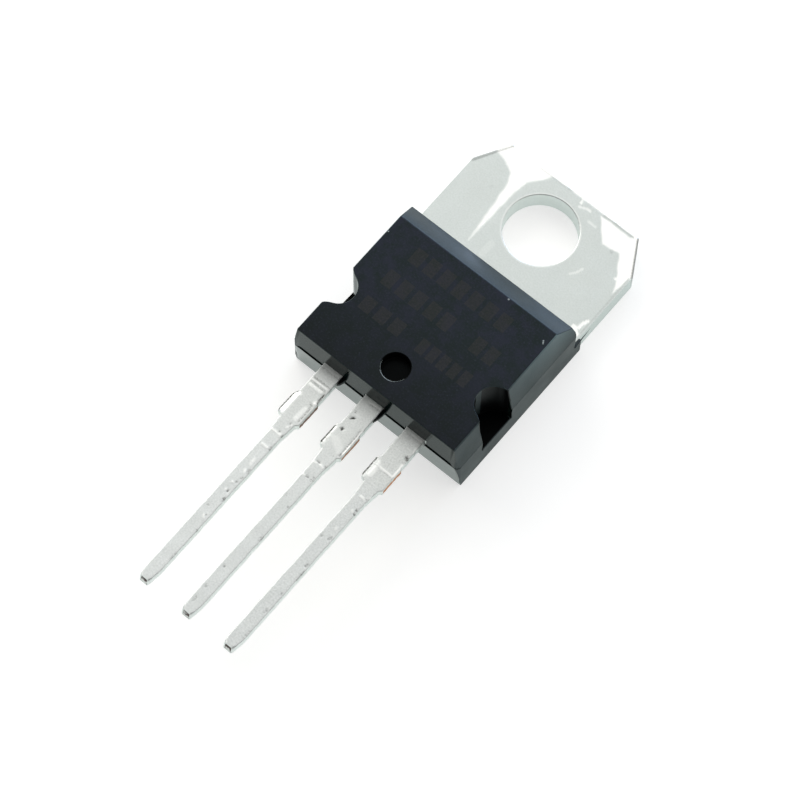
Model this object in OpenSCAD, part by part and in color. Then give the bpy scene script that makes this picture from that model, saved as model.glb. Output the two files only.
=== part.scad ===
// Three-lead voltage regulator in a flat-backed power package.
// The origin is on the axis of the mounting hole, at the back face of the heat-sink plate.
// +X runs across the package towards the output lead, +Y towards the end of the tab,
// and +Z out of the back face towards the marked face.

/* [Moulded body] */
// Width of the body at the mould's parting plane
body_w = 10.3; // [9.6:0.1:12.4]
// Length of the body from the lead side to the tab side, at the parting plane
body_l = 9.1; // [7.5:0.1:11]
// Height of the marked face above the back face
body_h = 4.5; // [3.8:0.05:5.4]
// How far the upper half stands back from the lower half, all round
parting_step = 0.05; // [0:0.01:0.1]
// How far each side wall leans in from the parting plane to the marked face
side_draft = 0.28; // [0.1:0.02:0.4]
// How far the front wall leans in from the parting plane to the marked face
front_draft = 0.05; // [0:0.01:0.3]
// How far the front wall leans in from the parting plane to the back face
under_draft = 0.3; // [0:0.02:0.4]
// How far the wall on the tab side leans in, from the plate up to the bevel
back_draft = 0.24; // [0.05:0.01:0.3]
// Length of the bevel on the tab side, measured along the body
bevel_l = 1.05; // [0.4:0.05:1.4]
// Height of the bevel on the tab side
bevel_h = 0.9; // [0.4:0.05:1]
// Radius of the upright corners
corner_r = 0.25; // [0.1:0.05:0.4]

/* [Marks of the mould] */
// Radius of the half-round notch in each side
notch_r = 1.0; // [0.8:0.05:1.2]
// Depth of the notch, in from the side wall at the parting plane
notch_depth = 1.4; // [1.1:0.05:1.5]
// Distance from the front wall to the middle of the notches
notch_to_front = 3.15; // [2.8:0.05:3.8]
// Radius where a notch rounds into the side wall
notch_mouth_r = 0.25; // [0.1:0.05:0.3]
// Plastic left over the plate at the floor of a notch
notch_floor_t = 0.23; // [0.1:0.01:0.4]
// Diameter of the ejector pin's dimple in the marked face
dimple_d = 1.44; // [1:0.02:1.8]
// Depth of the dimple
dimple_depth = 0.55; // [0.2:0.05:0.6]
// Distance from the front wall to the middle of the dimple
dimple_to_front = 1.6; // [1.4:0.05:2]

/* [Heat-sink plate] */
// Thickness of the plate
plate_t = 1.27; // [1:0.01:1.6]
// Skin of plastic beside the plate where it leaves the body
skin_t = 0.15; // [0.1:0.01:0.3]
// Wall of plastic on each side of the plate inside the body
side_wall = 0.6; // [0.4:0.05:1]
// Distance from the front wall to the plate's inner end
plate_to_front = 2.3; // [2:0.05:2.8]
// Full-width part of the plate that is held inside the body
plate_seat = 0.4; // [0.2:0.05:0.8]
// Distance from the hole's axis to the body at the parting plane
hole_to_body = 3.6; // [3:0.05:4.4]
// Distance from the hole's axis to the free end of the tab
hole_to_end = 2.75; // [2.6:0.01:3.4]
// Diameter of the mounting hole
hole_d = 3.8; // [3.2:0.05:4]
// Corner cut of the tab, measured across it
corner_cut_x = 1.05; // [0.5:0.05:1.5]
// Corner cut of the tab, measured along it
corner_cut_y = 1.8; // [0.8:0.05:2.2]
// Width of the sealing groove across the plate
groove_w = 0.3; // [0.1:0.05:0.4]
// Depth of the sealing groove
groove_depth = 0.2; // [0.1:0.05:0.3]
// Height of the undercut that locks each side of the plate into the plastic
lock_h = 0.45; // [0.2:0.05:0.6]
// Width of the undercut
lock_w = 0.25; // [0.1:0.05:0.4]
// Length of the skin of plastic beside the tab, past the body's wall
skin_l = 0.5; // [0.2:0.05:0.8]

/* [Leads] */
// Distance between neighbouring leads
lead_pitch = 2.54; // [2.1:0.01:3.1]
// Thickness of the leads
lead_t = 0.5; // [0.42:0.01:0.7]
// Height of the underside of the leads above the back face
lead_level = 2.56; // [2.1:0.01:3.1]
// Length of a lead outside the body
lead_l = 13.5; // [11:0.1:16.2]
// Width of a lead next to the body
shoulder_w = 1.28; // [1.1:0.02:1.5]
// Width over the stubs of the cut-off tie bar
stub_w = 1.4; // [1.3:0.02:1.7]
// Distance from the body to the stubs
stub_start = 1.8; // [1.4:0.05:2.2]
// Length of the stubs
stub_l = 1.4; // [1:0.05:1.8]
// Length over which a lead narrows, after the stubs
neck_l = 0.85; // [0.4:0.05:1.2]
// Width of the narrow part of a lead
lead_w = 0.8; // [0.6:0.02:1]
// Width of the cropped tip
tip_w = 0.5; // [0.3:0.05:0.6]
// Length over which a lead narrows to its tip
tip_l = 0.35; // [0.1:0.05:0.6]

/* [Inside the body] */
// Straight part of each lead inside the front wall
lead_hold = 0.7; // [0.5:0.05:1]
// Run of the bend that brings the middle lead down to the plate
joggle_run = 1.25; // [0.9:0.05:1.3]
// Length of the landing, at the inner end of a side lead, that a wire is bonded to
post_l = 1.5; // [1.1:0.05:1.7]
// Gap between a landing and the middle lead
post_gap = 0.5; // [0.4:0.05:0.7]
// Width of the silicon chip, across the package
die_w = 2.2; // [1.8:0.1:2.6]
// Length of the chip, along the package
die_l = 1.9; // [1.6:0.1:2.3]
// Thickness of the chip
die_t = 0.28; // [0.2:0.01:0.35]
// Distance from the plate's inner end to the middle of the chip
die_to_end = 2.6; // [2.3:0.05:3.1]
// Thickness of the solder under the chip
solder_t = 0.05; // [0.03:0.01:0.08]
// How far the solder spreads past the chip
solder_rim = 0.12; // [0.05:0.01:0.2]
// Diameter of the bond wires
wire_d = 0.125; // [0.08:0.005:0.15]
// Diameter of the pressed foot at each end of a wire
foot_d = 0.3; // [0.22:0.01:0.36]
// Height of a foot
foot_h = 0.1; // [0.08:0.01:0.12]
// Gap between neighbouring feet of the output and sense wires
foot_gap = 0.18; // [0.1:0.02:0.3]
// Height of a wire's arch over the straight line between its ends, for each mm of that line
arch = 0.17; // [0.1:0.01:0.25]

/* [Hidden] */
$fn = 48;

// Cutting tools run past the faces that they open by this much
past = 1;

// Walls of the body, as positions along Y
front_y = -hole_to_body - body_l;
back_y = -hole_to_body;
upper_w = body_w - 2 * parting_step;
top_w = upper_w - 2 * side_draft;

// Plate
tab_w = body_w - 2 * skin_t;
plate_w = body_w - 2 * side_wall;
plate_end_y = front_y + plate_to_front;

// Middles of the notches and of the dimple
notch_x = body_w / 2 - notch_depth + notch_r;
notch_y = front_y + notch_to_front;
notch_z = plate_t + notch_floor_t;
dimple_y = front_y + dimple_to_front;

// Landings of the side leads
post_inner_x = shoulder_w / 2 + post_gap;
post_outer_x = lead_pitch + shoulder_w / 2;
post_front_y = front_y + lead_hold;
post_back_y = post_front_y + post_l;

// Chip
die_y = plate_end_y + die_to_end;
die_z = plate_t + solder_t;
pad_z = die_z + die_t;

// Ends of the bond wires: on the landings, on the chip and on the plate
post_z = lead_level + lead_t;
post_x = (post_inner_x + post_outer_x) / 2;
pad_x = die_w / 2 - foot_d;
pad_y = die_y - die_l / 2 + foot_d;
ground_y = plate_end_y + foot_d;
// The output and sense wires stand this far to each side of the landing's middle
twin_x = (foot_d + foot_gap) / 2;

// A closed outline in Y and Z, drawn out to the given width across the package
module across(outline, width) {
    rotate([90, 0, 90])
        translate([0, 0, -width / 2])
            linear_extrude(width)
                polygon(outline);
}

// A closed outline in X and Z, drawn out along the package from y0 to y1
module along(outline, y0, y1) {
    translate([0, y1, 0])
        rotate([90, 0, 0])
            linear_extrude(y1 - y0)
                polygon(outline);
}

// A rectangle with round corners, between two heights
module round_block(w, y0, y1, z0, z1) {
    translate([0, 0, z0])
        linear_extrude(z1 - z0)
            union() {
                translate([-w / 2 + corner_r, y0])
                    square([w - 2 * corner_r, y1 - y0]);
                translate([-w / 2, y0 + corner_r])
                    square([w, y1 - y0 - 2 * corner_r]);
                for (sx = [-1, 1], y = [y0 + corner_r, y1 - corner_r])
                    translate([sx * (w / 2 - corner_r), y])
                        circle(corner_r);
            }
}

// Upper half of the body: leaning walls, and the bevel on the tab side
module upper_half() {
    front = front_y + parting_step;
    back = back_y - parting_step;
    bevel_z = body_h - bevel_h;
    intersection() {
        across([
            [front, lead_level],
            [front + front_draft, body_h],
            [back - back_draft - bevel_l, body_h],
            [back - back_draft, bevel_z],
            [back, lead_level]
        ], body_w);
        along([
            [-upper_w / 2, lead_level],
            [upper_w / 2, lead_level],
            [top_w / 2, body_h],
            [-top_w / 2, body_h]
        ], front_y, back_y);
        round_block(upper_w, front, back, lead_level, body_h);
    }
}

// Lower half of the body, with the thin skin that it leaves beside the tab
module lower_half() {
    intersection() {
        across([
            [front_y + under_draft, 0],
            [front_y, lead_level],
            [back_y, lead_level],
            [back_y, 0]
        ], body_w);
        round_block(body_w, front_y, back_y, 0, lead_level);
    }
    translate([-body_w / 2, back_y - corner_r, 0])
        cube([body_w, corner_r + skin_l, plate_t]);
}

// One notch as a flat shape, on the +X side, with its mouth rounded into the wall
module notch_outline() {
    mouth_x = body_w / 2 - notch_x;
    circle(notch_r);
    translate([0, -notch_r])
        square([mouth_x + past, 2 * notch_r]);
    for (sy = [-1, 1])
        mirror([0, sy < 0 ? 1 : 0])
            translate([mouth_x - notch_mouth_r, notch_r])
                difference() {
                    translate([0, -notch_mouth_r])
                        square([notch_mouth_r + past, 2 * notch_mouth_r]);
                    translate([0, notch_mouth_r])
                        circle(notch_mouth_r);
                }
}

// What the mould leaves open: the two side notches and the dimple
module mould_marks() {
    for (sx = [0, 1])
        mirror([sx, 0, 0])
            translate([notch_x, notch_y, notch_z])
                linear_extrude(body_h)
                    notch_outline();
    translate([0, dimple_y, body_h - dimple_depth])
        cylinder(h = dimple_depth + past, d = dimple_d);
}

// Outline of a lead outside the body, seen from above, from y = 0 outwards
function lead_side(s) = [
    [s * shoulder_w / 2, 0],
    [s * shoulder_w / 2, -stub_start],
    [s * stub_w / 2, -stub_start],
    [s * stub_w / 2, -stub_start - stub_l],
    [s * lead_w / 2, -stub_start - stub_l - neck_l],
    [s * lead_w / 2, -lead_l + tip_l],
    [s * tip_w / 2, -lead_l]
];

function backwards(list) = [for (i = [len(list) - 1 : -1 : 0]) list[i]];

// The part of a lead that can be seen, at its own place in the row
module lead_blade(x) {
    translate([x, front_y, lead_level])
        linear_extrude(lead_t)
            polygon(concat(lead_side(1), backwards(lead_side(-1))));
}

// A side lead on the +X side, with the landing at its inner end
module side_lead() {
    lead_blade(lead_pitch);
    translate([lead_pitch - shoulder_w / 2, front_y, lead_level])
        cube([shoulder_w, lead_hold, lead_t]);
    translate([post_inner_x, post_front_y, lead_level])
        cube([post_outer_x - post_inner_x, post_l, lead_t]);
}

// Middle lead: straight through the wall, then bent down to the top of the plate
module middle_lead() {
    lead_blade(0);
    low_z = plate_t - lead_t;
    upper_bend = front_y + lead_hold;
    lower_bend = upper_bend + joggle_run;
    lean = atan2(lead_level - low_z, joggle_run);
    shift = lead_t * tan(lean / 2);
    across([
        [front_y, lead_level],
        [upper_bend, lead_level],
        [lower_bend, low_z],
        [plate_end_y + past, low_z],
        [plate_end_y + past, plate_t],
        [lower_bend + shift, plate_t],
        [upper_bend + shift, lead_level + lead_t],
        [front_y, lead_level + lead_t]
    ], shoulder_w);
}

// The plate: the tab with its cut corners, and the narrower part inside the body
module plate() {
    seat_y = back_y - plate_seat;
    difference() {
        linear_extrude(plate_t)
            polygon([
                [-tab_w / 2, seat_y],
                [-plate_w / 2, seat_y],
                [-plate_w / 2, plate_end_y],
                [plate_w / 2, plate_end_y],
                [plate_w / 2, seat_y],
                [tab_w / 2, seat_y],
                [tab_w / 2, hole_to_end - corner_cut_y],
                [tab_w / 2 - corner_cut_x, hole_to_end],
                [-tab_w / 2 + corner_cut_x, hole_to_end],
                [-tab_w / 2, hole_to_end - corner_cut_y]
            ]);
        translate([0, 0, -past])
            cylinder(h = plate_t + 2 * past, d = hole_d);
        translate([-plate_w / 2 - past, seat_y - groove_w, plate_t - groove_depth])
            cube([plate_w + 2 * past, groove_w, groove_depth + past]);
        for (sx = [0, 1])
            mirror([sx, 0, 0])
                translate([plate_w / 2 - lock_w, plate_end_y - past, -past])
                    cube([lock_w + past, seat_y - plate_end_y + past, lock_h + past]);
    }
}

// A bond wire: one arc between two points, with a pressed foot on the surface at each end
module bond_wire(a, b) {
    span = b - a;
    chord = norm(span);
    rise = arch * chord;
    bend_r = (chord * chord / 4 + rise * rise) / (2 * rise);
    half = asin(chord / 2 / bend_r);
    heading = atan2(span[1], span[0]);
    tilt = asin(span[2] / chord);
    translate(a + [0, 0, foot_h])
        rotate([0, -tilt, heading])
            translate([chord / 2, 0, rise - bend_r])
                rotate([90, 0, 0])
                    rotate([0, 0, 90 - half])
                        rotate_extrude(angle = 2 * half)
                            translate([bend_r, 0])
                                circle(d = wire_d);
    for (p = [a, b])
        translate(p)
            cylinder(h = foot_h, d = foot_d);
}

module silicon_die() {
    color("#4a4d57")
        translate([-die_w / 2, die_y - die_l / 2, die_z])
            cube([die_w, die_l, die_t]);
}

module die_solder() {
    color("#a9abac")
        translate([-die_w / 2 - solder_rim, die_y - die_l / 2 - solder_rim, plate_t])
            cube([die_w + 2 * solder_rim, die_l + 2 * solder_rim, solder_t]);
}

module input_bond_wire() {
    color("#d9d9d6")
        bond_wire([-post_x, post_back_y - foot_d, post_z], [-pad_x, pad_y, pad_z]);
}

module output_bond_wire() {
    color("#d9d9d6")
        bond_wire([post_x + twin_x, post_back_y - foot_d, post_z], [pad_x, pad_y + foot_d, pad_z]);
}

module sense_bond_wire() {
    color("#d9d9d6")
        bond_wire([post_x - twin_x, post_back_y - foot_d, post_z], [pad_x - 2 * twin_x, pad_y, pad_z]);
}

module ground_bond_wire() {
    color("#d9d9d6")
        bond_wire([0, ground_y, plate_t], [-twin_x, pad_y, pad_z]);
}

module input_lead() {
    color("#c9ccca")
        mirror([1, 0, 0])
            side_lead();
}

module output_lead() {
    color("#c9ccca")
        side_lead();
}

module heatsink_tab() {
    color("#d3d7d5")
        union() {
            plate();
            middle_lead();
        }
}

module moulded_body() {
    color("#282b2f")
        difference() {
            union() {
                lower_half();
                upper_half();
            }
            mould_marks();
            heatsink_tab();
            input_lead();
            output_lead();
            silicon_die();
            die_solder();
            input_bond_wire();
            output_bond_wire();
            sense_bond_wire();
            ground_bond_wire();
        }
}

moulded_body();
heatsink_tab();
input_lead();
output_lead();
silicon_die();
die_solder();
input_bond_wire();
output_bond_wire();
sense_bond_wire();
ground_bond_wire();
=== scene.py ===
import math

import bmesh
import bpy
from mathutils import Matrix, Vector, noise


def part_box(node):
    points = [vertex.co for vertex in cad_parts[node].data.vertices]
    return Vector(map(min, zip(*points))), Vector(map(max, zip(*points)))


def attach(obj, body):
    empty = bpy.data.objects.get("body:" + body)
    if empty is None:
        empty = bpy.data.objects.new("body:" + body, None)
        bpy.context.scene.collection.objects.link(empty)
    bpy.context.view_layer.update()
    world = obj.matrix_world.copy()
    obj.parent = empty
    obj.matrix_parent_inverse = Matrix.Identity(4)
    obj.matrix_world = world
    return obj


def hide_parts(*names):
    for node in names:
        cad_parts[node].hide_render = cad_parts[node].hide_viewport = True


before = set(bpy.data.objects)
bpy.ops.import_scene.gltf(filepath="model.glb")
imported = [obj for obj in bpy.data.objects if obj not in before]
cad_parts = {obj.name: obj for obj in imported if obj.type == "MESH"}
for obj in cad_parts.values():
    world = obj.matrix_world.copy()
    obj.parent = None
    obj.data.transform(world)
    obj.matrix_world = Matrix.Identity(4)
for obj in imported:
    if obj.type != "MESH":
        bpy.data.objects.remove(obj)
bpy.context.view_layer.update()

MM = 0.001


# ---------------------------------------------------------------- sizes, in mm

body_low, body_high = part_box("moulded_body")
# The moulded body: its front wall, its side, its marked face and its back wall.
FRONT = body_low.y / MM
SIDE = body_high.x / MM
TOP = body_high.z / MM
BACK = -3.6
CORNER_R = 0.25
# The two halves of the mould meet at the parting line, where the upper one stands back by a step.
PARTING = 2.56
STEP = 0.05
# The notches in the sides: their middle along the body, their radius, and how near to the body's middle
# line a place may be and still belong to one.
NOTCH_MIDDLE = -9.55
NOTCH_R = 1.0
NOTCH_INNER = 3.7
# The ejector pin's dimple in the marked face.
DIMPLE = (0, -11.1)
DIMPLE_R = 0.72
# The heat-sink plate, and the hole in it, whose axis goes through the origin.
PLATE_TOP = 1.27
HOLE_R = 1.9
# The leads: their spacing, their section, where they are drawn out from inside the body, and their tips.
PITCH = 2.54
LEAD_TOP = 3.06
LEAD_THICK = 0.5
LEAD_ROOT = FRONT + 0.12
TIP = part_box("input_lead")[0].y / MM
# The stubs that the cut-off tie bar left on the leads, from their start to their end.
STUB_START = FRONT - 1.8
STUB_END = STUB_START - 1.4

# An edge counts as sharp when its faces turn by more than this.
SHARP_TURN = math.radians(35)
# Points nearer to a cut than this, in mm, count as on it.
CUT_MARGIN = 0.0002
# The soft margin round a stroke of a mark, in mm.
STROKE_MARGIN = 0.05


# ---------------------------------------------------------------- small tools

def mm(*values):
    """A place or a size given in millimetres, as a vector in metres."""
    return Vector(values) * MM


def linear(hex_colour):
    """An sRGB hex colour as the linear RGBA that a shader socket takes."""
    channels = [int(hex_colour[i:i + 2], 16) / 255 for i in (1, 3, 5)]
    return [c / 12.92 if c <= 0.04045 else ((c + 0.055) / 1.055) ** 2.4 for c in channels] + [1.0]


def add(tree, kind, inputs=None, **settings):
    """Adds one node: its settings, then its inputs as numbers, colours or links."""
    made = tree.nodes.new(kind)
    for name, value in settings.items():
        setattr(made, name, value)
    for key, value in (inputs or {}).items():
        if isinstance(value, bpy.types.NodeSocket):
            tree.links.new(value, made.inputs[key])
        else:
            made.inputs[key].default_value = value
    return made


def material(name):
    """An empty material with its node tree and its output node."""
    made = bpy.data.materials.new(name)
    made.use_nodes = True
    made.node_tree.nodes.clear()
    return made, made.node_tree, made.node_tree.nodes.new("ShaderNodeOutputMaterial")


def smooth_between(value, low, high):
    """0 below low, 1 above high, and a smooth rise between them."""
    t = min(max((value - low) / (high - low), 0.0), 1.0)
    return t * t * (3 - 2 * t)


def between(knots, value):
    """Straight interpolation through pairs of place and result, whose places fall from each to the next."""
    for (high_place, high_result), (low_place, low_result) in zip(knots, knots[1:]):
        if value >= low_place:
            share = min(max((high_place - value) / (high_place - low_place), 0.0), 1.0)
            return high_result + share * (low_result - high_result)
    return knots[-1][1]


def unevenness(place, size, height):
    """A smooth random height, in mm, whose hills are about as far apart as the size."""
    return height * noise.noise(Vector(place) / size)


def distance_to(x, y, start, end):
    """Distance in mm from a point to a line from start to end."""
    along_x = end[0] - start[0]
    along_y = end[1] - start[1]
    length_squared = along_x ** 2 + along_y ** 2
    share = 0.0
    if length_squared:
        share = min(max(((x - start[0]) * along_x + (y - start[1]) * along_y) / length_squared, 0.0), 1.0)
    return math.hypot(x - start[0] - share * along_x, y - start[1] - share * along_y)


def stroke(x, y, start, end, half):
    """1 on a stroke of the given half width, in mm, fading to 0 over its soft margin."""
    return 1 - smooth_between(distance_to(x, y, start, end), half, half + STROKE_MARGIN)


def marks_on(strokes, x, y):
    """The strongest of a list of strokes at a place: each is start, end, half width and strength."""
    return max(power * stroke(x, y, start, end, half) for start, end, half, power in strokes)


def patch(x, y, outline, soft):
    """1 inside a closed outline and 0 outside it, changing smoothly within the soft margin of its edge."""
    sides = list(zip(outline, outline[1:] + outline[:1]))
    edge = min(distance_to(x, y, a, b) for a, b in sides)
    crossed = sum(
        (a[1] > y) != (b[1] > y) and x < a[0] + (y - a[1]) * (b[0] - a[0]) / (b[1] - a[1])
        for a, b in sides)
    return smooth_between(edge if crossed % 2 else -edge, -soft, soft)


# ---------------------------------------------------------------- camera

CAMERA_AZIMUTH = math.radians(38.691)
CAMERA_ELEVATION = math.radians(68.467)
CAMERA_ROLL = math.radians(1.134)
CAMERA_DISTANCE = 169.726
CAMERA_TARGET = (0.487, -11.332, 1.5)
CAMERA_LENS = 159.81
CAMERA_SENSOR = 36

towards_camera = Vector((
    math.sin(CAMERA_AZIMUTH) * math.cos(CAMERA_ELEVATION),
    -math.cos(CAMERA_AZIMUTH) * math.cos(CAMERA_ELEVATION),
    math.sin(CAMERA_ELEVATION),
))
level_right = (-towards_camera).cross(Vector((0, 0, 1))).normalized()
level_up = level_right.cross(-towards_camera)
view_right = level_right * math.cos(CAMERA_ROLL) + level_up * math.sin(CAMERA_ROLL)
view_up = level_up * math.cos(CAMERA_ROLL) - level_right * math.sin(CAMERA_ROLL)
camera_turn = Matrix((view_right, view_up, towards_camera)).transposed().to_4x4()
camera_place = mm(*CAMERA_TARGET) + towards_camera * CAMERA_DISTANCE * MM

camera_data = bpy.data.cameras.new("camera")
camera_data.lens = CAMERA_LENS
camera_data.sensor_width = CAMERA_SENSOR
camera_data.clip_start = 0.005
camera_data.clip_end = 20
camera = bpy.data.objects.new("camera", camera_data)
camera.matrix_world = Matrix.Translation(camera_place) @ camera_turn
bpy.context.scene.collection.objects.link(camera)
bpy.context.scene.camera = camera
bpy.context.scene.view_settings.view_transform = "Standard"


# ---------------------------------------------------------------- studio

# The strength of the tent's dim and bright sides, what its roof panel adds, and the glow with which the
# table looks white to the eye without lighting the object.
TENT_DIM = 0.2
TENT_BRIGHT = 1.0
ROOF_PANEL = 0.1
TABLE_LIFT = 0.63
# Where the bright back wall and the roof panel are, as directions from the object.
BACK_WALL = (-0.25, 0.97, 0.0)
ROOF = (-0.24, 0.30, 0.93)
# The roof panel is bright within the inner angle of its middle and gone beyond the outer one.
ROOF_INNER = math.radians(13)
ROOF_OUTER = math.radians(24)
# Half the table top's width, in metres.
TABLE_HALF = 1.2
# What the lamps are turned to face, in mm.
LIT_PLACE = (0, -9, 0)


def make_tent():
    """The light tent: bright above and behind the tab, dim on the leads' side, where its opening is."""
    world = bpy.data.worlds.new("light_tent")
    bpy.context.scene.world = world
    world.use_nodes = True
    tree = world.node_tree
    tree.nodes.clear()
    sky = add(tree, "ShaderNodeTexCoord").outputs["Generated"]
    to_back = add(tree, "ShaderNodeVectorMath", {
        0: sky, 1: Vector(BACK_WALL).normalized()}, operation="DOT_PRODUCT").outputs["Value"]
    back_wall = add(tree, "ShaderNodeMapRange", {
        "Value": to_back, "From Min": -0.22, "From Max": 0.10, "To Min": TENT_DIM, "To Max": TENT_BRIGHT,
    }, interpolation_type="SMOOTHSTEP").outputs["Result"]
    to_roof = add(tree, "ShaderNodeVectorMath", {
        0: sky, 1: Vector(ROOF).normalized()}, operation="DOT_PRODUCT").outputs["Value"]
    roof_panel = add(tree, "ShaderNodeMapRange", {
        "Value": to_roof, "From Min": math.cos(ROOF_OUTER), "From Max": math.cos(ROOF_INNER),
        "To Min": 0.0, "To Max": ROOF_PANEL,
    }, interpolation_type="SMOOTHSTEP").outputs["Result"]
    glow = add(tree, "ShaderNodeMath", {0: back_wall, 1: roof_panel}, operation="ADD").outputs[0]
    tent = add(tree, "ShaderNodeBackground", {"Color": linear("#fffffd"), "Strength": glow})
    white = add(tree, "ShaderNodeBackground", {"Color": linear("#ffffff"), "Strength": 1.0})
    rays = add(tree, "ShaderNodeLightPath").outputs
    shown = add(tree, "ShaderNodeMixShader", {
        0: rays["Is Camera Ray"], 1: tent.outputs[0], 2: white.outputs[0]})
    add(tree, "ShaderNodeOutputWorld", {"Surface": shown.outputs[0]})


def make_table():
    """The table top: matte white laminate that looks white to the eye and keeps the object's shadow."""
    form = bmesh.new()
    bmesh.ops.create_grid(form, x_segments=2, y_segments=2, size=TABLE_HALF)
    mesh = bpy.data.meshes.new("table_top")
    form.to_mesh(mesh)
    form.free()
    table = bpy.data.objects.new("table_top", mesh)
    bpy.context.scene.collection.objects.link(table)
    made, tree, out = material("white_table_top")
    rays = add(tree, "ShaderNodeLightPath").outputs
    seen = add(tree, "ShaderNodeMath", {
        0: rays["Is Camera Ray"], 1: rays["Is Glossy Ray"]}, operation="MAXIMUM").outputs[0]
    seen = add(tree, "ShaderNodeMath", {
        0: seen, 1: rays["Is Transmission Ray"]}, operation="MAXIMUM").outputs[0]
    lift = add(tree, "ShaderNodeMath", {0: seen, 1: TABLE_LIFT}, operation="MULTIPLY").outputs[0]
    laminate = add(tree, "ShaderNodeBsdfDiffuse", {"Color": linear("#c4c4c2")})
    hue = add(tree, "ShaderNodeMix", {
        0: rays["Is Glossy Ray"], 6: linear("#ffffff"), 7: linear("#f4fffc")}, data_type="RGBA").outputs[2]
    shine = add(tree, "ShaderNodeEmission", {"Color": hue, "Strength": lift})
    both = add(tree, "ShaderNodeAddShader", {0: laminate.outputs[0], 1: shine.outputs[0]})
    tree.links.new(both.outputs[0], out.inputs["Surface"])
    mesh.materials.append(made)


def make_lamp(name, place, size, power, colour):
    """A square soft box, its place and size in metres, turned to face the object."""
    data = bpy.data.lights.new(name, "AREA")
    data.shape = "SQUARE"
    data.size = size
    data.energy = power
    data.color = linear(colour)[:3]
    lamp = bpy.data.objects.new(name, data)
    place = Vector(place)
    turn = (place - mm(*LIT_PLACE)).to_track_quat("Z", "Y").to_matrix().to_4x4()
    lamp.matrix_world = Matrix.Translation(place) @ turn
    bpy.context.scene.collection.objects.link(lamp)


make_tent()
make_table()
make_lamp("left_soft_box", place=(-0.72, 0.22, 0.42), size=0.7, power=3.0, colour="#fffdf8")
make_lamp("low_window", place=(-0.12, 0.85, 0.14), size=0.6, power=4.2, colour="#bcd6ff")


# ---------------------------------------------------------------- making pieces

def merged_copy(node):
    """A CAD node's mesh with its loose triangles merged and its flat faces whole."""
    form = bmesh.new()
    form.from_mesh(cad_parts[node].data)
    bmesh.ops.remove_doubles(form, verts=form.verts, dist=0.0005 * MM)
    bmesh.ops.dissolve_limit(form, angle_limit=math.radians(0.5), verts=form.verts, edges=form.edges)
    return form


def ends_of(edges):
    """The corners at the ends of some edges, each once and in the order of the edges."""
    return list(dict.fromkeys(v for e in edges for v in e.verts))


def round_edges(form, radius, chosen, segments=3, clamped=True):
    """Rounds the chosen ones of the sharp edges, to a radius in mm."""
    sharp = [e for e in form.edges if e.is_manifold and e.calc_face_angle(0) > SHARP_TURN and chosen(e)]
    bmesh.ops.bevel(
        form, geom=sharp, offset=radius * MM, offset_type="OFFSET", segments=segments, profile=0.5,
        affect="EDGES", clamp_overlap=clamped, material=-1)


def turn_outward(form):
    """Makes every face of a closed form face outward."""
    bmesh.ops.recalc_face_normals(form, faces=form.faces)
    if form.calc_volume(signed=True) < 0:
        bmesh.ops.reverse_faces(form, faces=form.faces)
    form.normal_update()


def slice_at(form, faces, axis, place):
    """Cuts one flat slice across an axis, at a place in mm, through some of the faces."""
    normal = Vector([1.0 if i == axis else 0.0 for i in range(3)])
    edges = list(dict.fromkeys(e for f in faces for e in f.edges))
    bmesh.ops.bisect_plane(
        form, geom=ends_of(edges) + edges + faces, dist=CUT_MARGIN * MM, plane_co=normal * place * MM,
        plane_no=normal)


def slice_across(form, axis, start, end, step, where):
    """Cuts evenly spaced slices across an axis, in mm, through the faces whose middles are chosen."""
    for count in range(round((end - start) / step) + 1):
        faces = [f for f in form.faces if where(f.calc_center_median() / MM)]
        slice_at(form, faces, axis, start + count * step)


def make_piece(form, name, node, finishes):
    """A piece from its bmesh: closed, smooth, riding on the body, standing for its CAD node."""
    for face in form.faces:
        face.smooth = True
    for edge in form.edges:
        edge.smooth = not edge.is_manifold or edge.calc_face_angle(0) < SHARP_TURN
    mesh = bpy.data.meshes.new(name)
    form.to_mesh(mesh)
    form.free()
    for finish in finishes:
        mesh.materials.append(finish)
    piece = bpy.data.objects.new(name, mesh)
    bpy.context.scene.collection.objects.link(piece)
    weighted = piece.modifiers.new("flat_shading", "WEIGHTED_NORMAL")
    weighted.weight = 50
    weighted.keep_sharp = True
    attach(piece, "root")
    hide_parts(node)


# ---------------------------------------------------------------- finishes

# The sizes that the finishes' patterns come from, in mm. The epoxy's filler is 0.02 to 0.08 and the
# crystals of matte tin are finer still, so both are drawn coarser, as large as they need to be to show.
FILLER_GRAIN = 0.10
TIN_GRAIN = 0.09
TIN_CLOUD = 0.9
FLOW_CLOUD = 1.6
MARKED_CLOUD = 0.7
SHEAR_STREAK = 0.12
CROP_STREAK = 0.2

# Rows of the laser marking, in mm: left and right end, middle line, height and number of blocks.
LASER_ROWS = [
    (-3.2, 2.9, -6.1, 0.9, 7),
    (-3.5, 0.8, -7.8, 0.9, 5),
    (1.9, 3.5, -7.8, 0.9, 2),
    (-3.5, -0.8, -9.5, 0.8, 3),
    (0.0, 3.2, -9.5, 0.8, 5),
]
# Half a block of the laser marking, as a share of the room that it has in its row.
LASER_BLOCK = 0.36
# Pale nicks in the marked face, in mm: place and size.
NICKS = [
    (4.50, -5.60, 0.05),
    (4.54, -5.67, 0.05),
    (4.58, -5.73, 0.04),
    (1.9, -5.0, 0.06),
    (-4.74, -5.95, 0.05),
]


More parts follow.
